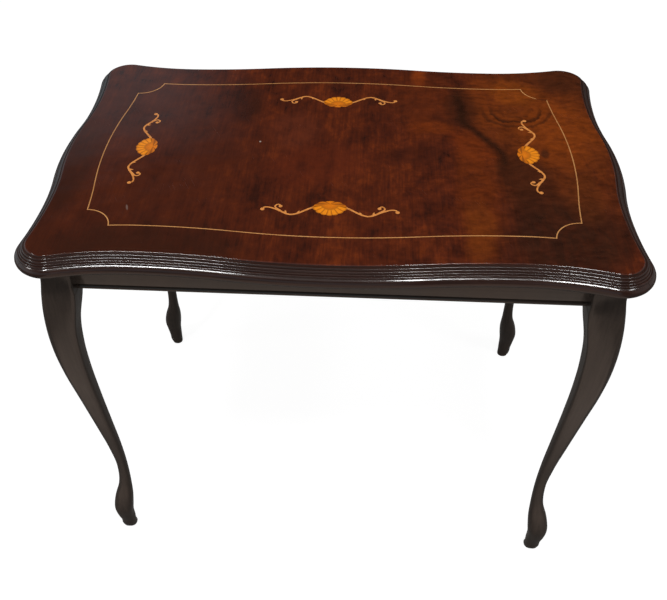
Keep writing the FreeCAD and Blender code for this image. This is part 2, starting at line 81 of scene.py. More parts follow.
# ------------------------------ lamps
# A wide soft lamp overhead and the pale room give the plain light. Four small lamps under
# the ceiling, two of them far to the sides, make the short bright glints on the moulding.
TABLE_MIDDLE = Vector((0.0, 0.0, 0.55))


def lamp(name, place, width, height, radiance):
    """Rectangular lamp that shines towards the table."""
    data = bpy.data.lights.new(name, "AREA")
    data.shape = "RECTANGLE"
    data.size, data.size_y = width, height
    data.energy = radiance * math.pi * width * height
    made = in_scene(name, data)
    made.location = place
    made.rotation_euler = (TABLE_MIDDLE - place).to_track_quat("-Z", "Y").to_euler()


def from_table(azimuth, elevation, distance):
    """Place seen from the table at that angle to the right of the front, and that high."""
    turn, rise = math.radians(azimuth), math.radians(elevation)
    level = Vector((math.sin(turn), -math.cos(turn), 0.0)) * math.cos(rise)
    return TABLE_MIDDLE + distance * (level + Vector((0.0, 0.0, math.sin(rise))))


lamp("overhead", Vector((0.2, -0.6, 2.9)), 2.4, 1.8, 0.36)
lamp("ceiling_right", from_table(25.0, 62.0, 2.75), 0.20, 0.38, 61.0)
lamp("ceiling_left", from_table(-42.0, 60.0, 2.75), 0.15, 0.40, 74.0)
lamp("far_right", from_table(64.0, 49.0, 2.85), 0.60, 0.26, 18.0)
lamp("far_left", from_table(-80.0, 40.0, 2.85), 0.60, 0.24, 16.0)


# ------------------------------ floor and room
# A white floor that keeps the table's shadow, in a white room. Polish and screws mirror both
# as in a lived-in room, the floor with a painted shadow under the table and painted light before
# it, the room dim at the front and back, pale at the sides, with a cool soft panel at the back
# left.
FLOOR_REACH = 8.0
FLOOR_GLOW = 0.90             # added to what the eye sees, so that the floor is white
# the floor as polish mirrors it: a painted shadow under the table, painted light before it
FLOOR_SHADOW_UNDER, FLOOR_LIT_BEFORE = (0.10, 0.095, 0.09), (0.50, 0.40, 0.34)
ROOM_LIGHT = 0.43
ROOM_BACK, ROOM_SIDES, ROOM_PANEL = 0.012, 0.35, 0.31
PANEL_AZIMUTH = 282.5
PANEL_COLOUR = (0.55, 0.85, 1.0, 1.0)


class Work:
    """A node tree in the making: each method adds nodes and returns their output."""

    def __init__(self, tree):
        self.tree = tree
        tree.nodes.clear()

    def add(self, kind, inputs=None, out=0, **settings):
        node = self.tree.nodes.new(kind)
        for name, value in settings.items():
            setattr(node, name, value)
        for name, value in (inputs or {}).items():
            for each in value if isinstance(value, list) else [value]:
                if isinstance(each, bpy.types.NodeSocket):
                    self.tree.links.new(each, node.inputs[name])
                else:
                    node.inputs[name].default_value = each
        return node.outputs[out] if node.outputs else None

    def maths(self, operation, a, b=0.0, clamp=False):
        return self.add("ShaderNodeMath", {0: a, 1: b}, operation=operation, use_clamp=clamp)

    def times(self, *values):
        """Product of the values."""
        return reduce(lambda a, b: self.maths("MULTIPLY", a, b), values)

    def largest(self, *values):
        """Largest of the values."""
        return reduce(lambda a, b: self.maths("MAXIMUM", a, b), values)

    def axes(self, place):
        """The X, Y and Z of a place or a direction."""
        parts = self.tree.nodes.new("ShaderNodeSeparateXYZ")
        self.tree.links.new(place, parts.inputs[0])
        return parts.outputs

    def vector(self, operation, a, b=(0.0, 0.0, 0.0), out=0):
        return self.add("ShaderNodeVectorMath", {0: a, 1: b}, out, operation=operation)

    def step(self, value, start, end, low=0.0, high=1.0):
        """Smooth step from low at start to high at end."""
        levels = {"Value": value, "From Min": start, "From Max": end,
                  "To Min": low, "To Max": high}
        return self.add("ShaderNodeMapRange", levels, interpolation_type="SMOOTHSTEP")


class Finish(Work):
    """A material's node tree: `at` is the place on the piece, in metres."""

    def __init__(self, tree):
        super().__init__(tree)
        self.at = self.add("ShaderNodeTexCoord", out="Object")

    def mix(self, factor, a, b, blend="MIX"):
        a, b = [v if isinstance(v, bpy.types.NodeSocket) else (*v, 1.0) for v in (a, b)]
        inputs = {0: factor, 6: a, 7: b}
        return self.add("ShaderNodeMix", inputs, 2, data_type="RGBA", blend_type=blend)

    def mapped(self, at, unit, place=(0.0, 0.0, 0.0), turn=0.0):
        """`at` counted in units of that size from a place, along axes turned about Z."""
        spot = {"Vector": at, "Location": place, "Rotation": (0.0, 0.0, turn), "Scale": unit}
        return self.add("ShaderNodeMapping", spot, vector_type="TEXTURE")

    def noise(self, at, unit, detail=2.0, rough=0.5, out="Fac"):
        """Noise whose features are about as large as unit, a size or three of them."""
        if not isinstance(unit, tuple):
            unit = (unit, unit, unit)
        grain = {"Vector": self.mapped(at, unit), "Scale": 1.0,
                 "Detail": detail, "Roughness": rough}
        return self.add("ShaderNodeTexNoise", grain, out)

    def patch(self, at, place, size, turn=0.0, edge=0.6):
        """Soft-edged oval of those half sizes: 1 in its middle and 0 outside."""
        oval = self.mapped(at, (*size, 1e6), (*place, 0.0), turn)
        fade = self.add("ShaderNodeTexGradient", {"Vector": oval}, "Fac", gradient_type="SPHERICAL")
        return self.step(fade, 0.0, edge)

    def tones(self, value, *stops):
        """Colour that goes through (position, colour) stops."""
        node = self.tree.nodes.new("ShaderNodeValToRGB")
        ramp = node.color_ramp
        while len(ramp.elements) < len(stops):
            ramp.elements.new(0.5)
        for element, (position, colour) in zip(ramp.elements, stops):
            element.position = position
            element.color = (*colour, 1.0)
        self.tree.links.new(value, node.inputs["Fac"])
        return node.outputs["Color"]

    def bump(self, height, depth, under=None):
        """Relief of that depth in metres, on top of another one."""
        inputs = {"Height": height, "Distance": depth}
        if under is not None:
            inputs["Normal"] = under
        return self.add("ShaderNodeBump", inputs)

    def surface(self, shader):
        self.add("ShaderNodeOutputMaterial", {"Surface": shader})


def new_material(name):
    material = bpy.data.materials.new(name)
    material.use_nodes = True
    return material, Finish(material.node_tree)


def by_eye(work):
    """1 where the camera sees a thing directly, else 0."""
    return work.add("ShaderNodeLightPath", out="Is Camera Ray")


def by_mirror(work):
    """1 where a thing is seen in polish, metal or through glass, else 0."""
    path = work.tree.nodes.new("ShaderNodeLightPath").outputs
    return work.maths("ADD", path["Is Glossy Ray"], path["Is Transmission Ray"], clamp=True)


floor_material, finish = new_material("white_floor")
dust = finish.noise(finish.at, 0.004, detail=5.0)
matt = finish.tones(dust, (0.3, (0.25,) * 3), (0.7, (0.27,) * 3))
matt = finish.add("ShaderNodeBsdfDiffuse", {"Color": matt})
glow = finish.add("ShaderNodeEmission", {"Strength": finish.times(by_eye(finish), FLOOR_GLOW)})
white = finish.add("ShaderNodeAddShader", {0: matt, 1: glow})
x, y, _ = finish.axes(finish.at)
# the mirrored floor glows with a painted shadow under the table and painted light before it
lit_before_table = finish.times(finish.step(y, -0.22, -0.42),
                            finish.step(finish.maths("ABSOLUTE", x), 0.68, 0.54))
mirrored = finish.mix(lit_before_table, FLOOR_SHADOW_UNDER, FLOOR_LIT_BEFORE)
mirrored = finish.add("ShaderNodeEmission", {"Color": mirrored, "Strength": 1.0})
finish.surface(finish.add("ShaderNodeMixShader", {0: by_mirror(finish), 1: white, 2: mirrored}))

floor_mesh = bpy.data.meshes.new("floor")
floor_corners = [(FLOOR_REACH * x, FLOOR_REACH * y, 0.0)
                 for x, y in ((-1, -1), (1, -1), (1, 1), (-1, 1))]
floor_mesh.from_pydata(floor_corners, [], [(0, 1, 2, 3)])
floor_mesh.materials.append(floor_material)
in_scene("floor", floor_mesh)

world = bpy.data.worlds.new("room")
world.use_nodes = True
bpy.context.scene.world = world
room = Work(world.node_tree)
WHITE = (1.0, 1.0, 1.0, 1.0)
towards = room.add("ShaderNodeTexCoord", out="Generated")
x, _, height = room.axes(towards)
walls = room.step(room.maths("ABSOLUTE", x), 0.42, 0.95, ROOM_BACK, ROOM_SIDES)
to_panel = from_table(PANEL_AZIMUTH, 0.0, 1.0) - TABLE_MIDDLE
past_edge = room.vector("DOT_PRODUCT", towards, tuple(to_panel), "Value")
panel = room.times(room.step(past_edge, -0.075, 0.075, 0.0, ROOM_PANEL),
                   room.step(height, 0.56, 0.50))
plain = room.add("ShaderNodeBackground", {"Strength": ROOM_LIGHT})
white = room.add("ShaderNodeBackground", {"Strength": 1.0, "Color": WHITE})
mirrored = room.add("ShaderNodeBackground", {"Strength": walls, "Color": WHITE})
cool = room.add("ShaderNodeBackground", {"Strength": panel, "Color": PANEL_COLOUR})
mirrored = room.add("ShaderNodeAddShader", {0: mirrored, 1: cool})
shown = room.add("ShaderNodeMixShader", {0: by_mirror(room), 1: plain, 2: mirrored})
shown = room.add("ShaderNodeMixShader", {0: by_eye(room), 1: shown, 2: white})
room.add("ShaderNodeOutputWorld", {"Surface": shown})


# ------------------------------ legs
# Four cabriole legs of beech stained nearly black, each sawn and shaped from one square
# length: the knee block stays square for the rails, and the foot is a small pointed hoof.
MM = 0.001
TOP_UNDERSIDE = 565.0
RAIL_BOTTOM = 523.0
POST_X, POST_Y, POST_HALF = 307.0, 187.5, 18.0
KNEE_TOP = 548.0
# height as a share of the rail's lower edge, how far the section's middle stands out from
# the block's, half width, and the rounding of the outer, side and inner corners as shares
LEG_STATIONS = (
    (0.000, 12.3, 9.0, 0.46, 0.46, 0.46),
    (0.008, 13.7, 10.1, 0.46, 0.46, 0.46),
    (0.038, 14.0, 10.9, 0.45, 0.43, 0.45),
    (0.073, 14.9, 12.4, 0.43, 0.40, 0.43),
    (0.105, 14.1, 14.2, 0.42, 0.38, 0.43),
    (0.149, 10.6, 13.6, 0.43, 0.41, 0.44),
    (0.201, 5.4, 9.6, 0.45, 0.45, 0.46),
    (0.287, 2.0, 7.6, 0.45, 0.45, 0.46),
    (0.382, 2.7, 8.8, 0.43, 0.40, 0.48),
    (0.497, 5.6, 11.0, 0.39, 0.31, 0.52),
    (0.631, 9.0, 13.8, 0.33, 0.24, 0.57),
    (0.746, 11.4, 16.7, 0.29, 0.18, 0.60),
    (0.822, 11.6, 18.2, 0.26, 0.14, 0.58),
    (0.908, 9.2, 19.3, 0.22, 0.11, 0.44),
    (0.966, 4.7, 20.6, 0.17, 0.10, 0.24),
    (1.000, 2.1, 20.3, 0.14, 0.10, 0.16),
    (KNEE_TOP / RAIL_BOTTOM, 0.0, 18.0, 0.10, 0.10, 0.10),
    (TOP_UNDERSIDE / RAIL_BOTTOM, 0.0, 18.0, 0.10, 0.10, 0.10),
)
LEG_ROWS = 104                # rows of faces below the rail's lower edge
KNEE_OVERLAP = 0.2            # above that edge the leg starts to be cut flat for the rails
BLOCK_LEVELS = (4.0, 9.0, 14.0, 19.0, 25.0, 34.0, 42.0)    # rows of the block above that edge
CORNER_STEPS = 9              # faces round a corner
SIDE_STEPS = 3                # faces along a straight side
BLACKENED, BLACK_BROWN = (0.042, 0.030, 0.0235), (0.058, 0.041, 0.032)
RUBBED_BROWN = (0.085, 0.040, 0.020)


def leg_section(share):
    """The section's sizes at a height, on smooth curves through the stations."""
    heights = [station[0] for station in LEG_STATIONS]
    last = len(heights) - 1
    low = max(i for i in range(last) if heights[i] <= share or i == 0)
    span = heights[low + 1] - heights[low]
    t = (share - heights[low]) / span
    sizes = []
    for k in range(1, 6):
        def rise(i):
            return (LEG_STATIONS[i + 1][k] - LEG_STATIONS[i][k]) / (heights[i + 1] - heights[i])

        def slope(i):
            if i in (0, last):
                return rise(min(i, last - 1))
            before, after = heights[i] - heights[i - 1], heights[i + 1] - heights[i]
            return (rise(i - 1) * after + rise(i) * before) / (before + after)

        start, end = LEG_STATIONS[low][k], LEG_STATIONS[low + 1][k]
        sizes.append((2 * t ** 3 - 3 * t ** 2 + 1) * start
                     + (t ** 3 - 2 * t ** 2 + t) * span * slope(low)
                     + (3 * t ** 2 - 2 * t ** 3) * end
                     + (t ** 3 - t ** 2) * span * slope(low + 1))
    return sizes


def leg_ring(z, cut_flat):
    """Points round the back right leg at height z, cut flat at the block's inner faces."""
    out, half, outer, side, inner = leg_section(z / RAIL_BOTTOM)
    corners = ((1, 1, outer), (-1, 1, side), (-1, -1, inner), (1, -1, side))
    arcs = []
    for i, (sx, sy, share) in enumerate(corners):
        radius = share * 2 * half
        aside = half - radius
        middle = Vector((POST_X + out + sx * aside, POST_Y + out + sy * aside, z))
        arc = []
        for step in range(CORNER_STEPS + 1):
            turn = math.radians(90 * (i + step / CORNER_STEPS))
            arc.append(middle + radius * Vector((math.cos(turn), math.sin(turn), 0)))
        arcs.append(arc)
    ring = []
    for arc, following in zip(arcs, arcs[1:] + arcs[:1]):
        ring += arc
        ring += [arc[-1].lerp(following[0], step / SIDE_STEPS) for step in range(1, SIDE_STEPS)]
    if cut_flat:
        for point in ring:
            point.x = max(point.x, POST_X - POST_HALF)
            point.y = max(point.y, POST_Y - POST_HALF)
    return [point * MM for point in ring]


def skin(rings):
    """Mesh with quads between closed rings of as many points each, and closed ends."""
    made = bmesh.new()
    rows = [[made.verts.new(point) for point in ring] for ring in rings]
    for lower, upper in zip(rows, rows[1:]):
        for i in range(len(lower)):
            made.faces.new((lower[i - 1], lower[i], upper[i], upper[i - 1]))
    made.faces.new(rows[0][::-1])
    made.faces.new(rows[-1])
    return made


def piece(kind, place, made, material, crease=32.0):
    """Finished piece, shown for the plain solid, smooth where it bends less than crease."""
    bmesh.ops.recalc_face_normals(made, faces=made.faces)
    mesh = bpy.data.meshes.new(kind + place)
    made.to_mesh(mesh)
    made.free()
    mesh.shade_smooth()
    mesh.set_sharp_from_angle(angle=math.radians(crease))
    mesh.materials.append(material)
    finished = in_scene(kind + "_piece" + place, mesh)
    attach(finished, "root")
    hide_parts(kind + place)


def dark_polish(name, grain, dark, brown):
    """Stained wood under a bright polish, its grain as fine and as long as grain says."""
    material, finish = new_material(name)
    coarse = finish.noise(finish.at, tuple(6 * size for size in grain), detail=3.0)
    fine = finish.noise(finish.at, grain, detail=4.0, rough=0.6)
    cloud = finish.noise(finish.at, 0.07, detail=2.0)
    colour = finish.tones(coarse, (0.30, dark), (0.70, brown))
    pores = finish.step(fine, 0.50, 0.75, 0.0, 0.35)
    colour = finish.mix(pores, colour, tuple(0.5 * level for level in dark))
    # the stain is thin where hands and cloths rub the arrises
    edge = finish.add("ShaderNodeNewGeometry", out="Pointiness")
    worn = finish.times(finish.step(edge, 0.52, 0.60), finish.step(cloud, 0.35, 0.75), 0.35)
    colour = finish.mix(worn, colour, RUBBED_BROWN)
    smear = finish.noise(finish.at, (0.012, 0.012, 0.03), detail=4.0, rough=0.65)
    roughness = finish.step(smear, 0.25, 0.8, 0.30, 0.50)
    relief = finish.bump(finish.noise(finish.at, 0.018, detail=2.0), 0.00018)
    relief = finish.bump(fine, 0.00005, relief)
    coat_relief = finish.bump(finish.noise(finish.at, 0.010, detail=1.0), 0.00006)
    finish.surface(finish.add("ShaderNodeBsdfPrincipled", {
        "Base Color": colour, "Roughness": roughness, "Normal": relief, "Specular IOR Level": 0.10,
        "Coat Weight": 0.9, "Coat Roughness": finish.step(smear, 0.3, 0.7, 0.10, 0.15),
        "Coat Normal": coat_relief}))
    return material


CORNERS = (("front_left", -1, -1), ("front_right", 1, -1),
           ("back_left", -1, 1), ("back_right", 1, 1))


def to_corner(made, side_x, side_y):
    """Moves a back right shape to the corner with those signs of X and Y."""
    bmesh.ops.transform(made, matrix=Matrix.Diagonal((side_x, side_y, 1, 1)), verts=made.verts)
    return made


leg_polish = dark_polish("dark_polish_legs", (0.0006, 0.0006, 0.030), BLACKENED, BLACK_BROWN)
leg_levels = [(RAIL_BOTTOM * i / LEG_ROWS, False) for i in range(LEG_ROWS + 1)]
leg_levels += [(RAIL_BOTTOM + rise, True) for rise in (KNEE_OVERLAP, *BLOCK_LEVELS)]
for name, side_x, side_y in CORNERS:
    leg = to_corner(skin([leg_ring(z, cut_flat) for z, cut_flat in leg_levels]), side_x, side_y)
    piece("leg", "_" + name, leg, leg_polish)


# ------------------------------ rails
# Four straight rails of the same stained wood between the knee blocks. A half round bead is
# planed along the lower edge, and a shallow step parts it from the flat face.
RAIL_THICKNESS, RAIL_SETBACK = 18.0, 11.0
BEAD_HEIGHT, BEAD_SWELL, BEAD_QUIRK = 6.4, 2.2, 1.2
BEAD_STEPS = 12
STEP = ((-0.25, 0.95), (0.0, 1.6))         # outward from the face, and above the bead
RAIL_EASE = 0.6               # easing of a rail's other arrises


def bowed(start, end, swell, steps):
    """Points of the arc from start to end that stands out by swell to the chord's right."""
    chord = end - start
    side = Vector((chord.y, -chord.x)).normalized()
    radius = (chord.length ** 2 / 4 + swell ** 2) / (2 * swell)
    middle = (start + end) / 2 - side * (radius - swell)
    half = math.asin(chord.length / (2 * radius))
    along = chord.normalized()
    points = []
    for i in range(steps + 1):
        turn = half * (2 * i / steps - 1)
        points.append(middle + radius * (side * math.cos(turn) + along * math.sin(turn)))
    return points


def rail_outline():
    """Section of a rail as (outward from its face, height) points, anticlockwise."""
    bead_top = RAIL_BOTTOM + BEAD_HEIGHT
    bead = bowed(Vector((-BEAD_QUIRK, RAIL_BOTTOM)), Vector((-BEAD_QUIRK, bead_top)),
                 BEAD_SWELL, BEAD_STEPS)
    back, ease = -RAIL_THICKNESS, RAIL_EASE
    step = [Vector((outward, bead_top + above)) for outward, above in STEP]
    return bead + step + [Vector(point) for point in (
        (0.0, TOP_UNDERSIDE), (back, TOP_UNDERSIDE), (back, RAIL_BOTTOM + ease),
        (back + ease, RAIL_BOTTOM))]


def turned(made, turn):
    """Turns a shape made at the back of the table about the table's middle."""
    rotation = Matrix.Rotation(math.radians(turn), 3, "Z")
    bmesh.ops.rotate(made, cent=(0, 0, 0), matrix=rotation, verts=made.verts)
    return made


# name, turn from the back, and the places of the block beside the face and of those at the ends
RAILS = (("back", 0, POST_Y, POST_X), ("left", 90, POST_X, POST_Y),
         ("front", 180, POST_Y, POST_X), ("right", 270, POST_X, POST_Y))
GRAIN_ALONG = {0: (0.030, 0.0006, 0.0006), 90: (0.0006, 0.030, 0.0006)}
rail_polish = {turn: dark_polish("dark_polish_rails_%d" % turn, grain, BLACKENED, BLACK_BROWN)
               for turn, grain in GRAIN_ALONG.items()}
for name, turn, face_post, end_post in RAILS:
    face = face_post + POST_HALF - RAIL_SETBACK
    reach = end_post - POST_HALF
    rings = [[Vector((x, face + point.x, point.y)) * MM for point in rail_outline()]
             for x in (-reach, 0.0, reach)]
    rail = turned(skin(rings), turn)
    piece("rail", "_" + name, rail, rail_polish[turn % 180])


# ------------------------------ dowels and corner braces
# Beech dowels, two to each end of a rail, glued in. Behind them a block of bare wood is set
# across each corner, with its arrises eased, and holds the leg and the top by screws.
BRACE_EASE = 0.9
BEECH = ((0.56, 0.38, 0.22), (0.40, 0.24, 0.12))           # its pale and dark tone
BRACE_WOOD = ((0.42, 0.26, 0.135), (0.27, 0.15, 0.07))


def bare_wood(name, grain, pale, dark):
    """Planed wood without finish: pores along the grain, and marks of plane and saw."""
    material, finish = new_material(name)
    rings = finish.noise(finish.at, tuple(12 * size for size in grain), detail=3.0, rough=0.6)
    pores = finish.noise(finish.at, grain, detail=4.0, rough=0.65)
    grime = finish.noise(finish.at, 0.05, detail=4.0, rough=0.7)
    colour = finish.tones(rings, (0.32, dark), (0.68, pale))
    for marks, share, shade in ((finish.step(pores, 0.52, 0.72), 0.45, 0.45),
                                (finish.step(grime, 0.50, 0.75), 0.5, 0.5)):
        colour = finish.mix(finish.times(marks, share), colour, tuple(shade * c for c in dark))
    relief = finish.bump(rings, 0.00015)
    relief = finish.bump(pores, 0.00012, relief)
    finish.surface(finish.add("ShaderNodeBsdfPrincipled", {
        "Base Color": colour, "Roughness": finish.step(pores, 0.3, 0.7, 0.62, 0.85),
        "Normal": relief, "Specular IOR Level": 0.35}))
    return material


def dress(node, material):
    """Gives a solid that is shown as it is its finish."""
    nodes[node].data.materials.clear()
    nodes[node].data.materials.append(material)


def welded(node):
    """Copy of a solid's mesh with the corners of its triangles joined."""
    made = bmesh.new()
    made.from_mesh(nodes[node].data)
    bmesh.ops.remove_doubles(made, verts=made.verts, dist=2e-6)
    return made


dress("rail_dowels", bare_wood("beech_dowels", (0.010, 0.0005, 0.0005), *BEECH))
brace_wood = bare_wood("brace_wood", (0.0008, 0.0008, 0.016), *BRACE_WOOD)
for name, side_x, side_y in CORNERS:
    brace = welded("corner_brace_" + name)
    bmesh.ops.dissolve_limit(brace, angle_limit=math.radians(1), verts=brace.verts,
                             edges=brace.edges)
    sharp = [edge for edge in brace.edges
             if edge.is_manifold and edge.calc_face_angle() > math.radians(40)]
    bmesh.ops.bevel(brace, geom=sharp, offset=BRACE_EASE * MM, segments=2, profile=0.6,
                    affect="EDGES", clamp_overlap=True)
    piece("corner_brace", "_" + name, brace, brace_wood)


# ------------------------------ core and backing of the top
# A core board cut to the serpentine shape, inside its edge mouldings, with a plain veneer
# on its underside to keep it flat. Both are bare, and only the backing can be seen.
CORE_WOOD = ((0.52, 0.36, 0.20), (0.40, 0.25, 0.13))
BACKING = ((0.30, 0.17, 0.085), (0.19, 0.10, 0.048))
dress("top_core", bare_wood("core_wood", (0.020, 0.0008, 0.0008), *CORE_WOOD))
dress("backing_veneer", bare_wood("backing_wood", (0.030, 0.0006, 0.0006), *BACKING))


# ------------------------------ edge mouldings
# Four lengths of stained solid wood round the core, mitred at the lobes: under the arris
# three beads and a fine reed step outward to a fat torus.
TABLE_TOP = 590.0
TOP_THICKNESS = 25.0
VENEER = 0.8
LIPPING_WIDTH = 14.0
LOBE_RADIUS = 26.5
ARRIS_ROUND = 2.0
EDGE_FOOT = 8.4
# outward from the arris, drop as a share of the thickness, and swell of the curve to there
EDGE_PROFILE = (
    (0.0, 0.080, 0.0), (0.9, 0.088, 0.0), (3.7, 0.160, 1.0), (3.5, 0.176, 0.0), (6.1, 0.256, 0.7),
    (5.9, 0.272, 0.0), (8.0, 0.320, 0.6), (7.9, 0.336, 0.0), (10.6, 0.404, 0.9), (10.5, 0.424, 0.0),
    (9.8, 0.950, 4.65), (8.6, 0.970, 0.0),
)
# half length or depth of the top, depth of the wave, lobe's tip to the hollow, and the tips
SIDE_PLANS = {"long": (214.0, 11.4, 122.5, 335.5, 214.0),
              "end": (338.2, 8.6, 105.0, 214.0, 335.5)}
ARC_STEP, ARC_FACES = 2.5, 24  # length of a face along the edge, and an arc's fewest faces
REED_FACES = 10               # faces across a bead or reed
EDGE_DARK, EDGE_BROWN = (0.024, 0.010, 0.0070), (0.042, 0.0165, 0.011)    # redder than the frame


def side_line(plan, inset=0.0):
    """One side of the top's outline moved inward, from mitre to mitre, as (along, outward)."""
    reach, wave, hollow_in, tip_along, tip_out = SIDE_PLANS[plan]
    hollow = Vector((tip_along - hollow_in, reach - wave))
    lobe = Vector((tip_along - LOBE_RADIUS, tip_out - LOBE_RADIUS))
    hump_radius = (hollow.x ** 2 + wave ** 2) / (4 * wave)
    along, back = lobe.x - hollow.x, hollow.y - lobe.y
    outer_radius = (along ** 2 + back ** 2 - LOBE_RADIUS ** 2) / (2 * (LOBE_RADIUS - back))
    hump = Vector((0.0, reach - hump_radius))
    inner = hollow + Vector((0.0, hump_radius))
    outer = hollow + Vector((0.0, outer_radius))
    over = math.asin(hollow.x / (2 * hump_radius))
    to_lobe = lobe - outer
    turn = math.atan2(to_lobe.y, to_lobe.x) + math.tau
    down = 1.5 * math.pi
    arcs = ((hump, hump_radius, -inset, math.pi / 2, math.pi / 2 - over),
            (inner, hump_radius, inset, down - over, down),
            (outer, outer_radius, inset, down, turn),
            (lobe, LOBE_RADIUS, -inset, turn - math.pi, math.pi / 4))
    right = []
    for middle, radius, grow, first, last in arcs:
        steps = max(ARC_FACES, round(abs(last - first) * radius / ARC_STEP))
        for i in range(1, steps + 1):
            angle = first + (last - first) * i / steps
            right.append(middle + (radius + grow) * Vector((math.cos(angle), math.sin(angle))))
    left = [Vector((-point.x, point.y)) for point in reversed(right)]
    return left + [Vector((0.0, reach - inset))] + right


def new_geometry(name, **sizes):
    """Geometry tree with named inputs for its sizes: the tree in the making, and its inputs."""
    tree = bpy.data.node_groups.new(name, "GeometryNodeTree")
    kinds = {float: "NodeSocketFloat", int: "NodeSocketInt",
             bpy.types.Material: "NodeSocketMaterial"}
    tree.interface.new_socket("Geometry", in_out="OUTPUT", socket_type="NodeSocketGeometry")
    tree.interface.new_socket("Geometry", in_out="INPUT", socket_type="NodeSocketGeometry")
    for size, kind in sizes.items():
        tree.interface.new_socket(size, in_out="INPUT", socket_type=kinds[kind])
    work = Work(tree)
    start = tree.nodes.new("NodeGroupInput")
    return work, {socket.name: socket for socket in start.outputs if socket.name}


def end_geometry(work, geometry, material):
    """Closes a tree as the finished pieces need it."""
    geometry = work.add("GeometryNodeRealizeInstances", {0: geometry})
    geometry = work.add("GeometryNodeSetMaterial", {"Geometry": geometry, "Material": material})
    work.add("NodeGroupOutput", {0: geometry})


def made_by(work, mesh, **values):
    """Plain shape that the tree makes from mesh with those values in its named inputs."""
    start = in_scene(work.tree.name, mesh)
    modifier = start.modifiers.new(work.tree.name, "NODES")
    modifier.node_group = work.tree
    for socket in work.tree.interface.items_tree:
        if socket.in_out == "INPUT" and socket.name in values:
            modifier[socket.identifier] = values[socket.name]
    bpy.context.view_layer.update()
    shaped = start.evaluated_get(bpy.context.evaluated_depsgraph_get())
    made = bmesh.new()
    made.from_mesh(bpy.data.meshes.new_from_object(shaped))
    start.modifiers.remove(modifier)
    bpy.data.objects.remove(start)
    return made


work, sizes = new_geometry("reeded_edge", top_thickness=float, lipping_width=float,
                           edge_foot=float, faces_per_reed=int, stained_wood=bpy.types.Material)


def section_point(outward, share, level=0.0):
    """Point of the section: outward from the arris, and down by a share of the thickness."""
    inward = work.times(outward, -1.0)
    drop = work.times(sizes["top_thickness"], share)
    return work.add("ShaderNodeCombineXYZ", {"X": inward, "Y": work.maths("ADD", drop, level)})


def section_run(start, end, swell):
    """Straight run of the section, or the arc that stands out from it by swell."""
    if not swell:
        return work.add("GeometryNodeCurvePrimitiveLine", {"Start": start, "End": end})
    chord = work.vector("SUBTRACT", end, start)
    outward = work.vector("NORMALIZE", work.vector("CROSS_PRODUCT", chord, (0.0, 0.0, -1.0)))
    middle = work.vector("MULTIPLY", work.vector("ADD", start, end), (0.5, 0.5, 0.5))
    middle = work.vector("ADD", middle, work.vector("MULTIPLY", outward, (swell, swell, swell)))
    arc = {"Resolution": sizes["faces_per_reed"], "Start": start, "Middle": middle, "End": end}
    return work.add("GeometryNodeCurveArc", arc, mode="POINTS")


# the border veneer takes the upper part of the rounded arris, down to its own thickness
rounded = math.acos(1 - VENEER / ARRIS_ROUND)
arris_swell = ARRIS_ROUND * (1 - math.cos((math.pi / 2 - rounded) / 2))
first_point = section_point(-ARRIS_ROUND * (1 - math.sin(rounded)) * MM, 0.0, VENEER * MM)
points = [first_point, section_point(0.0, 0.0, ARRIS_ROUND * MM)]
runs = [section_run(points[0], points[1], arris_swell * MM)]
for outward, share, swell in EDGE_PROFILE:
    points.append(section_point(outward * MM, share))
    runs.append(section_run(points[-2], points[-1], swell * MM))
back = work.times(sizes["lipping_width"], -1.0)
points += [section_point(sizes["edge_foot"], 1.0), section_point(back, 1.0),
           section_point(back, 0.0, VENEER * MM), first_point]
runs += [section_run(start, end, 0.0) for start, end in zip(points[-5:], points[-4:])]
section = work.add("GeometryNodeJoinGeometry", {0: runs})
section = work.add("GeometryNodeCurveToMesh", {0: section})
section = work.add("GeometryNodeMergeByDistance", {"Geometry": section, "Distance": 2e-6})
section = work.add("GeometryNodeMeshToCurve", {0: section})
path = work.add("GeometryNodeMeshToCurve", {0: sizes["Geometry"]})
path = work.add("GeometryNodeSetCurveNormal", {0: path}, mode="Z_UP")
edge = work.add("GeometryNodeCurveToMesh",
                {"Curve": path, "Profile Curve": section, "Fill Caps": True})
end_geometry(work, edge, sizes["stained_wood"])

edge_polish = {turn: dark_polish("dark_polish_edge_%d" % turn, grain, EDGE_DARK, EDGE_BROWN)
               for turn, grain in GRAIN_ALONG.items()}
for name, turn, *_ in RAILS:
    line = side_line("long" if turn % 180 == 0 else "end")
    path = bpy.data.meshes.new("edge_path")
    path.from_pydata([(point.x * MM, point.y * MM, TABLE_TOP * MM) for point in line],
                     [(i, i + 1) for i in range(len(line) - 1)], [])
    moulding = made_by(work, path, top_thickness=TOP_THICKNESS * MM,
                       lipping_width=LIPPING_WIDTH * MM, edge_foot=EDGE_FOOT * MM,
                       faces_per_reed=REED_FACES, stained_wood=edge_polish[turn % 180])
    piece("edge_moulding", "_" + name, turned(moulding, turn), edge_polish[turn % 180])


# ------------------------------ show veneer
# One sheet of figured red-brown wood, laid as field and border, its grain running from front
# to back. A knot once grew near the back right corner. Clear lacquer covers the whole top.
FLAT_RING = 1.2               # flat strip behind the rounded arris
ARRIS_STEPS = 6               # faces down the rounding
KNOT = (0.234, 0.108)
RING_PITCH = 0.0125           # between the growth rings at the knot


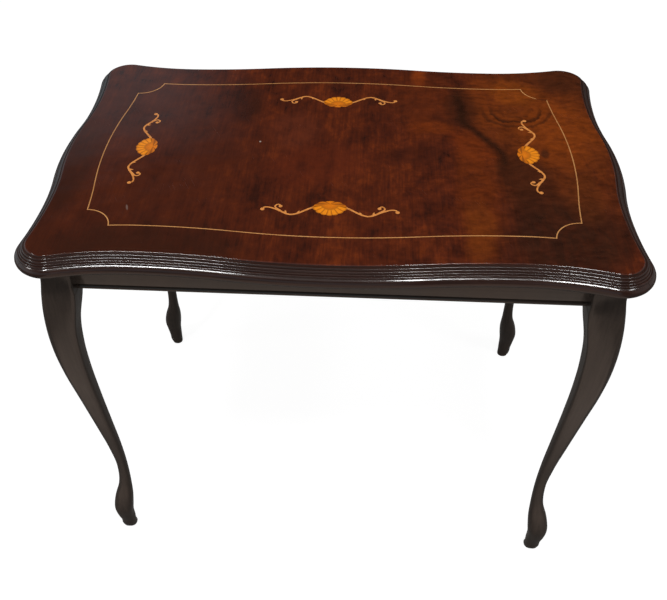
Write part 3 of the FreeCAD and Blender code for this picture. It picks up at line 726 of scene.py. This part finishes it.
def lacquered(finish, colour, relief):
    """Wood under the clear lacquer of the top, which is worn a little dull here and there."""
    rub = finish.noise(finish.at, (0.05, 0.02, 0.05), detail=5.0, rough=0.6)
    askew = finish.mapped(finish.at, (1.0, 1.0, 1.0), turn=0.5)
    scratches = finish.noise(askew, (0.0005, 0.045, 0.045), detail=1.0)
    scratched = finish.times(finish.step(scratches, 0.70, 0.76), finish.step(rub, 0.5, 0.62), 0.2)
    gloss = finish.maths("ADD", finish.step(rub, 0.30, 0.75, 0.07, 0.15), scratched)
    film = finish.bump(finish.noise(finish.at, 0.030, detail=1.0), 0.00010)
    film = finish.bump(finish.noise(finish.at, (0.0012, 0.012, 0.0012), detail=2.0), 0.000010, film)
    finish.surface(finish.add("ShaderNodeBsdfPrincipled", {
        "Base Color": colour, "Roughness": 0.5, "Normal": relief, "Specular IOR Level": 0.02,
        "Coat Weight": 0.9, "Coat Roughness": gloss, "Coat IOR": 1.5, "Coat Normal": film}))


veneer, finish = new_material("figured_veneer")
drift = finish.noise(finish.at, 0.06, detail=3.0, out="Color")
drift = finish.vector("SUBTRACT", drift, (0.5, 0.5, 0.5))
along = finish.vector("ADD", finish.at, finish.vector("MULTIPLY", drift, (0.020, 0.030, 0.0)))
broad = finish.noise(along, (0.030, 0.055, 1.0), detail=3.0, rough=0.6)
cloud = finish.noise(along, (0.013, 0.020, 1.0), detail=4.0, rough=0.65)
streaks = finish.noise(finish.at, (0.0026, 0.045, 1.0), detail=3.0, rough=0.6)
pores = finish.noise(finish.at, (0.0006, 0.012, 1.0), detail=3.0, rough=0.6)
figure = finish.maths("ADD", finish.times(broad, 0.42), finish.times(streaks, 0.24))
figure = finish.maths("ADD", figure, finish.times(cloud, 0.34))
colour = finish.tones(figure, (0.38, (0.036, 0.0088, 0.0048)), (0.47, (0.072, 0.0140, 0.0055)),
                      (0.54, (0.100, 0.0185, 0.0059)), (0.62, (0.155, 0.0280, 0.0064)))
# warm and dark places of the sheet: middle, half sizes, colour, strength, and turn if any
FIGURE_PLACES = (
    ((-0.270, -0.030), (0.230, 0.330), (0.062, 0.0145, 0.0066), 0.65),
    ((-0.210, -0.200), (0.170, 0.065), (0.038, 0.0115, 0.0060), 0.80),
    ((0.280, 0.060), (0.130, 0.270), (0.130, 0.0270, 0.0045), 0.75),
    ((0.205, 0.120), (0.050, 0.110), (0.185, 0.0360, 0.0042), 0.70),
    ((0.282, 0.055), (0.070, 0.110), (0.235, 0.0450, 0.0040), 0.80),
    ((0.240, 0.148), (0.045, 0.045), (0.240, 0.0500, 0.0042), 0.80),
    ((0.120, 0.120), (0.060, 0.120), (0.130, 0.0235, 0.0048), 0.70),
    ((0.125, 0.056), (0.040, 0.022), (0.190, 0.0330, 0.0045), 0.70),
    ((0.170, 0.015), (0.026, 0.055), (0.200, 0.0320, 0.0040), 0.65, 0.4),
    ((0.170, -0.080), (0.034, 0.170), (0.150, 0.0270, 0.0040), 0.75),
    ((0.168, -0.150), (0.024, 0.070), (0.170, 0.0380, 0.0045), 0.55),
    ((0.112, 0.192), (0.014, 0.036), (0.260, 0.0430, 0.0045), 0.85),
    ((0.262, -0.155), (0.095, 0.100), (0.030, 0.0105, 0.0055), 0.90),
    ((0.230, -0.060), (0.040, 0.080), (0.042, 0.0120, 0.0050), 0.75),
    ((0.292, -0.085), (0.030, 0.060), (0.110, 0.0250, 0.0050), 0.60),
    ((0.315, 0.185), (0.055, 0.050), (0.050, 0.0140, 0.0050), 0.65),
    ((-0.125, 0.105), (0.032, 0.060), (0.028, 0.0080, 0.0045), 0.75),
    ((-0.055, 0.045), (0.045, 0.060), (0.130, 0.0270, 0.0110), 0.60),
    ((0.100, -0.004), (0.045, 0.025), (0.048, 0.0105, 0.0050), 0.65),
    ((0.165, 0.105), (0.030, 0.062), (0.040, 0.0110, 0.0045), 0.70),
    ((-0.020, -0.030), (0.080, 0.060), (0.120, 0.0200, 0.0065), 0.60, 0.3),
    ((-0.330, -0.050), (0.050, 0.150), (0.036, 0.0110, 0.0060), 0.70),
    ((0.259, 0.0025), (0.007, 0.012), (0.020, 0.0090, 0.0050), 0.90),
)
for middle, size, tint, strength, *turn in FIGURE_PLACES:
    oval = finish.patch(along, middle, size, *turn)
    mottled = finish.times(oval, finish.step(cloud, 0.30, 0.62, 0.6 * strength, strength))
    colour = finish.mix(mottled, colour, tint)
# a dark line of growth winds forward beside the knot, and its rings hang below the knot
x, y, _ = finish.axes(along)
line_x = finish.step(y, 0.085, -0.005, 0.164, 0.206)
off_line = finish.maths("ABSOLUTE", finish.maths("SUBTRACT", x, line_x))
dark_line = finish.times(finish.step(off_line, 0.0, 0.0120, 0.80, 0.0),
                         finish.step(y, -0.07, -0.01), finish.step(y, 0.17, 0.11))
from_knot = finish.mapped(along, (1.0, 1.0, 1e6), (*KNOT, 0.0))
uneven = finish.times(finish.maths("SUBTRACT", cloud, 0.5), 0.016)
knot_far = finish.maths("ADD", finish.vector("LENGTH", from_knot, out="Value"), uneven)
_, behind_knot, _ = finish.axes(from_knot)
ring = finish.maths("FRACT", finish.times(knot_far, 1 / RING_PITCH))
rings = finish.times(finish.step(ring, 0.25, 0.72), finish.step(ring, 1.0, 0.82),
                     finish.step(knot_far, 0.026, 0.036, 0.30, 0.75),
                     finish.step(knot_far, 0.0400, 0.056, 1.0, 0.0),
                     finish.step(behind_knot, 0.012, -0.022))
colour = finish.mix(finish.largest(dark_line, rings), colour, (0.026, 0.0085, 0.0035))
# short curls across the grain, strong on the right and faint on the left
curl = finish.noise(along, (0.014, 0.0080, 1.0), detail=2.5, rough=0.6)
curl = finish.times(finish.maths("SUBTRACT", curl, 0.5), finish.step(x, -0.05, 0.22, 0.25, 1.4))
colour = finish.mix(1.0, colour, finish.maths("ADD", curl, 1.0), "MULTIPLY")
colour = finish.mix(finish.step(pores, 0.54, 0.74, 0.0, 0.20), colour, (0.018, 0.0055, 0.0034))
# a chip in the lacquer near the middle, and a faint pale rub at the front left
chip = finish.patch(finish.at, (-0.0955, 0.0168), (0.0016, 0.0022))
rubbed = finish.times(finish.patch(finish.at, (-0.2350, -0.1250), (0.0016, 0.0070), 0.3), 0.25)
pale = finish.times(finish.maths("ADD", chip, rubbed, clamp=True), 0.8)
colour = finish.mix(pale, colour, (0.50, 0.42, 0.36))
lacquered(finish, colour, finish.bump(pores, 0.00004))
dress("field_veneer", veneer)


def top_rims(node):
    """The edges round a sheet's top face as closed lines of points in the plan, in order."""
    sheet = welded(node)
    level = max(vertex.co.z for vertex in sheet.verts) - 1e-5
    rim = {}
    for side in sheet.edges:
        if min(vertex.co.z for vertex in side.verts) > level:
            tops = [face for face in side.link_faces if min(v.co.z for v in face.verts) > level]
            if len(tops) == 1:
                for vertex in side.verts:
                    rim.setdefault(vertex, []).append(side.other_vert(vertex))
    lines = []
    while rim:
        start = next(iter(rim))
        line = [start]
        while True:
            following = [vertex for vertex in rim.pop(line[-1]) if vertex in rim]
            if not following:
                break
            line.append(following[0])
        lines.append([vertex.co.to_2d() for vertex in line])
    sheet.free()
    return lines


def lies_in(point, line):
    """Whether a point is inside a closed line of points."""
    inside = False
    for a, b in zip(line, line[1:] + line[:1]):
        if (a.y > point.y) != (b.y > point.y):
            if point.x < a.x + (b.x - a.x) * (point.y - a.y) / (b.y - a.y):
                inside = not inside
    return inside


def sheet_face(made, outer, inner):
    """Flat triangles between two closed rows of vertices at one level."""
    rows = list(outer) + list(inner)
    rims = []
    for row, first in ((outer, 0), (inner, len(outer))):
        rims += [(first + i, first + (i + 1) % len(row)) for i in range(len(row))]
    plan = [vertex.co.to_2d() for vertex in rows]
    faces = delaunay_2d_cdt(plan, rims, [], 0, 1e-7)[2]
    rim, hole = plan[:len(outer)], plan[len(outer):]
    for corners in faces:
        middle = sum((plan[i] for i in corners), Vector((0.0, 0.0))) / 3
        if lies_in(middle, rim) and not lies_in(middle, hole):
            made.faces.new([rows[i] for i in corners])


def outline(inset):
    """The whole outline of the top, moved inward by inset."""
    line = []
    for turn, plan in ((0, "long"), (270, "end"), (180, "long"), (90, "end")):
        rotation = Matrix.Rotation(math.radians(turn), 2)
        line += [rotation @ point for point in side_line(plan, inset)[:-1]]
    return line


def row_at(line, height):
    """New corners of the border along a closed line, at that height."""
    return [border.verts.new((*point, height)) for point in line]


border = bmesh.new()
levels = [(ARRIS_ROUND + FLAT_RING, 0.0), (ARRIS_ROUND, 0.0)]
for i in range(1, ARRIS_STEPS + 1):
    angle = rounded * i / ARRIS_STEPS
    levels.append((ARRIS_ROUND * (1 - math.sin(angle)), ARRIS_ROUND * (1 - math.cos(angle))))
rows = [row_at([point * MM for point in outline(inset)], (TABLE_TOP - drop) * MM)
        for inset, drop in levels]
inner_line = min(top_rims("border_veneer"), key=lambda line: max(point.x for point in line))
inner = [row_at(inner_line, height * MM) for height in (TABLE_TOP, TABLE_TOP - VENEER)]
for upper, lower in (*zip(rows, rows[1:]), inner):
    for i in range(len(upper)):
        border.faces.new((upper[i - 1], upper[i], lower[i], lower[i - 1]))
sheet_face(border, rows[0], inner[0])
sheet_face(border, rows[-1], inner[1])
piece("border_veneer", "", border, veneer)


# ------------------------------ stringing
# A line of boxwood, let into the veneer in eight lengths. At the back right corner a short
# stretch has broken out and was filled with dark wax.
boxwood, finish = new_material("boxwood_line")
fibres = finish.noise(finish.at, 0.0012, detail=4.0, rough=0.6)
patina = finish.noise(finish.at, 0.035, detail=3.0)
colour = finish.tones(fibres, (0.3, (0.56, 0.240, 0.070)), (0.7, (0.78, 0.40, 0.150)))
colour = finish.mix(finish.step(patina, 0.40, 0.72, 0.0, 0.35), colour, (0.36, 0.135, 0.035))
x, _, _ = finish.axes(finish.at)
at_ends = finish.step(finish.maths("ABSOLUTE", x), 0.262, 0.285, 0.0, 0.3)
colour = finish.mix(at_ends, colour, (0.26, 0.095, 0.030))
wax = finish.patch(finish.at, (0.2735, 0.1345), (0.0085, 0.0060), -0.5, edge=0.15)
colour = finish.mix(wax, colour, (0.050, 0.0135, 0.0055))
lacquered(finish, colour, finish.bump(fibres, 0.00003))
for node in nodes:
    if node.startswith("stringing"):
        dress(node, boxwood)


# ------------------------------ scrolls
# Two scrolls to each motif, fretsawn from pale orange wood that is browned in hot sand here
# and there, and let into the field veneer on both sides of the shell.
scroll_wood, finish = new_material("scroll_marquetry")
fibres = finish.noise(finish.at, 0.0009, detail=4.0, rough=0.6)
shade = finish.noise(finish.at, 0.006, detail=2.0)
colour = finish.tones(fibres, (0.3, (0.66, 0.235, 0.055)), (0.7, (0.86, 0.345, 0.090)))
colour = finish.mix(finish.step(shade, 0.50, 0.70, 0.0, 0.5), colour, (0.46, 0.135, 0.022))
lacquered(finish, colour, finish.bump(fibres, 0.00003))


# ------------------------------ shells
# Each shell is a fan of seven ribs under a lobed crown, cut from golden wood. One side of
# each rib and the joints of the crown are browned in hot sand, so that the shell looks round.
HINGE_OUT = {0: 0.1089, 90: 0.2314}        # from the table's middle to where the ribs would meet
RIBS, FAN = 7, math.radians(146.0)
RIB_START, RIB_TIP = 0.0095, 0.0215        # ends of the ribs, from that point
EDGE_SHADE = 0.003            # width of the browned strips at the ribs' ends
CROWN_JOINTS = (90.0, 125.2)  # degrees from the middle rib to the crown's notches
BROWNED = (0.17, 0.045, 0.008)


def shell_wood(name, turn):
    """Sand-shaded wood whose ribs radiate from the shell's own hinge."""
    material, finish = new_material("shell_marquetry_" + name)
    rotation, out = math.radians(turn), HINGE_OUT[turn % 180]
    hinge = (-out * math.sin(rotation), out * math.cos(rotation), TABLE_TOP * MM)
    here = finish.mapped(finish.at, (1.0, 1.0, 1e6), hinge, rotation)
    x, y, _ = finish.axes(here)
    fan = finish.maths("ABSOLUTE", finish.maths("ARCTAN2", x, y))
    far = finish.vector("LENGTH", here, out="Value")
    across_rib = finish.maths("ADD", finish.maths("DIVIDE", fan, FAN / RIBS), 0.5)
    across_rib = finish.maths("FRACT", across_rib)
    fibres = finish.noise(finish.at, 0.0009, detail=4.0, rough=0.6)
    rib = finish.tones(fibres, (0.3, (0.85, 0.235, 0.008)), (0.7, (1.0, 0.33, 0.014)))
    shade = finish.largest(finish.step(across_rib, 0.60, 1.0, 0.0, 0.62),
                           finish.step(across_rib, 0.0, 0.10, 0.4, 0.0),
                           finish.step(far, RIB_START, RIB_START + EDGE_SHADE, 0.55, 0.0),
                           finish.step(far, RIB_TIP - EDGE_SHADE, RIB_TIP, 0.0, 0.6))
    rib = finish.mix(shade, rib, BROWNED)
    crown = finish.tones(fibres, (0.3, (0.66, 0.160, 0.006)), (0.7, (0.86, 0.24, 0.010)))
    apart = [finish.maths("ABSOLUTE", finish.maths("SUBTRACT", fan, math.radians(joint)))
             for joint in CROWN_JOINTS]
    shade = finish.largest(finish.step(far, 0.004, RIB_START, 0.0, 0.25),
                           *(finish.step(angle, 0.0, 0.30, 0.75, 0.0) for angle in apart))
    crown = finish.mix(shade, crown, BROWNED)
    on_rib = finish.times(finish.maths("LESS_THAN", fan, FAN / 2),
                          finish.maths("GREATER_THAN", far, RIB_START * 0.985))
    lacquered(finish, finish.mix(on_rib, crown, rib), finish.bump(fibres, 0.00003))
    return material


for name, turn, *_ in RAILS:
    dress("scroll_inlay_" + name, scroll_wood)
    dress("shell_inlay_" + name, shell_wood(name, turn))


# ------------------------------ screws
# Slotted wood screws with domed heads: one through each brace into the knee block's inner
# corner, and one up through each brace into the core of the top.
HEAD_RADIUS, HEAD_HEIGHT = 4.6, 3.0
SLOT_WIDTH, SLOT_DEPTH = 1.0, 1.3
# name, place under the head at the back right corner, way the head points, and the shank's
# radius and length
SCREWS = (("leg_screws", (264.25, 144.75, 545.0), (-1, -1, 0), 3.0, 55.0),
          ("top_screws", (285.75, 145.88, 533.0), (0, 0, -1), 2.1, 44.8))
CUTTER = 0.03                 # side of the block that cuts the head flat, and length of the slot's

work, sizes = new_geometry("slotted_screws", head_radius=float, head_height=float,
                           slot_width=float, slot_depth=float, shank_radius=float,
                           shank_length=float, seed=int, metal=bpy.types.Material)


def shifted(mesh, rise):
    """The mesh moved upward by rise."""
    shift = work.add("ShaderNodeCombineXYZ", {"Z": rise})
    return work.add("GeometryNodeTransform", {"Geometry": mesh, "Translation": shift})


# the domed head is a flattened ball, cut flat below and slotted across
radius, height, slot_depth = sizes["head_radius"], sizes["head_height"], sizes["slot_depth"]
dome = work.add("GeometryNodeMeshUVSphere", {"Segments": 32, "Rings": 16, "Radius": 1.0})
squash = work.add("ShaderNodeCombineXYZ", {"X": radius, "Y": radius, "Z": height})
dome = work.add("GeometryNodeTransform", {"Geometry": dome, "Scale": squash})
below = shifted(work.add("GeometryNodeMeshCube", {"Size": (CUTTER,) * 3}), -CUTTER / 2)
slot_size = work.add("ShaderNodeCombineXYZ", {
    "X": sizes["slot_width"], "Y": CUTTER, "Z": slot_depth})
slot_cut = shifted(work.add("GeometryNodeMeshCube", {"Size": slot_size}),
                   work.maths("SUBTRACT", height, work.times(slot_depth, 0.5)))
head = work.add("GeometryNodeMeshBoolean", {"Mesh 1": dome, "Mesh 2": [below, slot_cut]},
                operation="DIFFERENCE")
shank = work.add("GeometryNodeMeshCylinder", {
    "Vertices": 20, "Radius": sizes["shank_radius"], "Depth": sizes["shank_length"]})
shank = shifted(shank, work.times(sizes["shank_length"], -0.5))
screw = work.add("GeometryNodeJoinGeometry", {0: [head, shank]})
axis = work.add("GeometryNodeInputNamedAttribute", {"Name": "axis"}, data_type="FLOAT_VECTOR")
upright = work.add("FunctionNodeAlignRotationToVector", {"Vector": axis}, axis="Z")
spin = work.add("FunctionNodeRandomValue", {"Min": 0.0, "Max": math.tau, "Seed": sizes["seed"]}, 1)
spin = work.add("FunctionNodeAxisAngleToRotation", {"Axis": (0.0, 0.0, 1.0), "Angle": spin})
pose = work.add("FunctionNodeRotateRotation", {0: upright, 1: spin}, rotation_space="LOCAL")
screws = work.add("GeometryNodeInstanceOnPoints", {
    "Points": sizes["Geometry"], "Instance": screw, "Rotation": pose})
end_geometry(work, screws, sizes["metal"])

steel, finish = new_material("screw_steel")
tarnish = finish.noise(finish.at, 0.0022, detail=5.0, rough=0.7)
colour = finish.tones(tarnish, (0.35, (0.50, 0.48, 0.45)), (0.75, (0.24, 0.19, 0.15)))
turning = finish.noise(finish.at, 0.0004, detail=3.0)
finish.surface(finish.add("ShaderNodeBsdfPrincipled", {
    "Base Color": colour, "Metallic": 1.0, "Roughness": finish.step(tarnish, 0.3, 0.8, 0.28, 0.55),
    "Normal": finish.bump(turning, 0.00003)}))

signs = [Vector((side_x, side_y, 1)) for _, side_x, side_y in CORNERS]
for name, place, axis, radius, length in SCREWS:
    seats = bpy.data.meshes.new(name + "_seats")
    seats.from_pydata([Vector(place) * sign * MM for sign in signs], [], [])
    directions = seats.attributes.new("axis", "FLOAT_VECTOR", "POINT")
    for direction, sign in zip(directions.data, signs):
        direction.vector = Vector(axis).normalized() * sign
    made = made_by(work, seats, head_radius=HEAD_RADIUS * MM, head_height=HEAD_HEIGHT * MM,
                   slot_width=SLOT_WIDTH * MM, slot_depth=SLOT_DEPTH * MM,
                   shank_radius=radius * MM, shank_length=length * MM, seed=7, metal=steel)
    piece(name, "", made, steel, crease=40.0)
